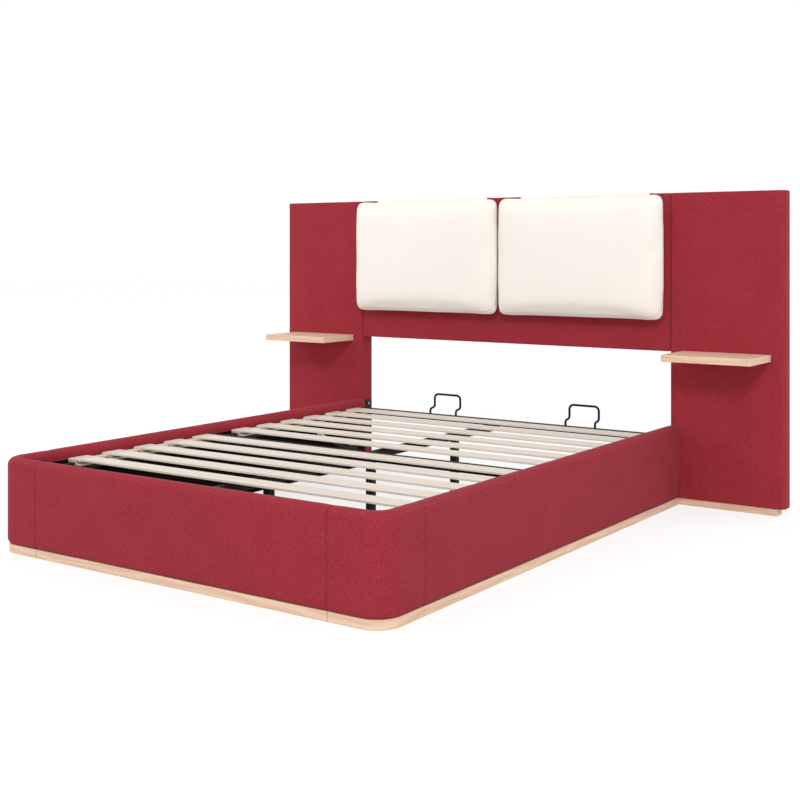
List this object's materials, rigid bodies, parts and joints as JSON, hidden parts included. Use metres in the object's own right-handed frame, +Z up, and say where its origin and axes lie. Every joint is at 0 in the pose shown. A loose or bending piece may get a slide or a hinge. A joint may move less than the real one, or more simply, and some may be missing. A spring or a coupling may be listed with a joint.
{
  "type": "upholstered platform bed",
  "caption": "Upholstered storage bed with rounded foot corners, a wide headboard with side shelves and hung cushions, and a slatted steel platform that lifts at the foot.",
  "frame": {"origin": "on the floor, under the middle of the bed's bounding box", "axes": "+X to the right seen from the foot end, +Y from foot to head, +Z up"},
  "size_m": [2.556, 2.19, 1.3023],
  "materials": {
    "red_fabric": "soft brushed upholstery cloth over thin foam",
    "core_wood": "raw softwood and board, hidden",
    "oak_wood": "pale straight-grained wood veneer, satin",
    "lining_fabric": "black non-woven lining",
    "slat_wood": "whitened plywood slats, satin",
    "cream_plastic": "moulded end caps",
    "black_steel": "black powder coat",
    "zinc_steel": "zinc-plated steel",
    "strut_chrome": "polished rod",
    "black_plastic": "moulded feet and plugs",
    "ivory_fabric": "ivory woven cloth"
  },
  "bodies": {
    "base": {"front_rail_core": "core_wood", "left_rail_core": "core_wood", "right_rail_core": "core_wood", "left_corner_core": "core_wood", "right_corner_core": "core_wood", "front_rail_cover": "red_fabric", "left_rail_cover": "red_fabric", "right_rail_cover": "red_fabric", "left_corner_cover": "red_fabric", "right_corner_cover": "red_fabric", "front_plinth": "oak_wood", "left_plinth": "oak_wood", "right_plinth": "oak_wood", "left_corner_plinth": "oak_wood", "right_corner_plinth": "oak_wood", "rail_linings": "lining_fabric", "corner_dowels": "core_wood", "left_panel_core": "core_wood", "right_panel_core": "core_wood", "left_panel_cover": "red_fabric", "right_panel_cover": "red_fabric", "left_panel_plinth": "oak_wood", "right_panel_plinth": "oak_wood", "bridge_core": "core_wood", "bridge_cover": "red_fabric", "left_shelf": "oak_wood", "right_shelf": "oak_wood", "shelf_rods": "zinc_steel", "bridge_brackets": "black_steel", "tie_plates": "black_steel", "frame_bolts": "zinc_steel", "left_lift_plate": "black_steel", "right_lift_plate": "black_steel", "lift_pins": "zinc_steel"},
    "platform": {"left_side_tubes": "black_steel", "right_side_tubes": "black_steel", "cross_tubes": "black_steel", "centre_tubes": "black_steel", "tube_end_caps": "black_plastic", "joiner_plates": "black_steel", "joiner_bolts": "zinc_steel", "front_slats": "slat_wood", "rear_slats": "slat_wood", "slat_holders": "cream_plastic", "centre_legs": "black_steel", "leg_feet": "black_plastic", "left_hoop": "black_steel", "right_hoop": "black_steel", "left_lift_arm": "black_steel", "right_lift_arm": "black_steel"},
    "left_cylinder_body": {"left_strut_cylinder": "black_steel"},
    "left_rod_body": {"left_strut_rod": "strut_chrome"},
    "left_cushion_body": {"left_cushion": "ivory_fabric", "left_cushion_flap": "ivory_fabric"},
    "right_cylinder_body": {"right_strut_cylinder": "black_steel"},
    "right_rod_body": {"right_strut_rod": "strut_chrome"},
    "right_cushion_body": {"right_cushion": "ivory_fabric", "right_cushion_flap": "ivory_fabric"}
  },
  "joints": [
    {"name": "platform_lift", "type": "hinge", "parent": "base", "child": "platform", "pos_m": [0, 0.93, 0.225], "axis": [-1, 0, 0], "range_deg": [0, 40]},
    {"name": "left_strut_swing", "type": "hinge", "parent": "base", "child": "left_cylinder_body", "pos_m": [-0.75, 0.904, 0.068], "axis": [-1, 0, 0], "range_deg": [0, 32]},
    {"name": "left_rod_swing", "type": "hinge", "parent": "platform", "child": "left_rod_body", "pos_m": [-0.75, 0.603, 0.219], "axis": [-1, 0, 0], "range_deg": [-8.8, 0]},
    {"name": "left_cushion_lift", "type": "slide", "parent": "base", "child": "left_cushion_body", "axis": [0, 0, 1], "range_m": [0, 0.15]},
    {"name": "right_strut_swing", "type": "hinge", "parent": "base", "child": "right_cylinder_body", "pos_m": [0.75, 0.904, 0.068], "axis": [-1, 0, 0], "range_deg": [0, 32]},
    {"name": "right_rod_swing", "type": "hinge", "parent": "platform", "child": "right_rod_body", "pos_m": [0.75, 0.603, 0.219], "axis": [-1, 0, 0], "range_deg": [-8.8, 0]},
    {"name": "right_cushion_lift", "type": "slide", "parent": "base", "child": "right_cushion_body", "axis": [0, 0, 1], "range_m": [0, 0.15]}
  ],
  "couplings": [
    {"joint": "left_strut_swing", "follows": "platform_lift", "ratio": 0.7897},
    {"joint": "left_rod_swing", "follows": "platform_lift", "ratio": -0.2103},
    {"joint": "right_strut_swing", "follows": "platform_lift", "ratio": 0.7897},
    {"joint": "right_rod_swing", "follows": "platform_lift", "ratio": -0.2103}
  ]
}
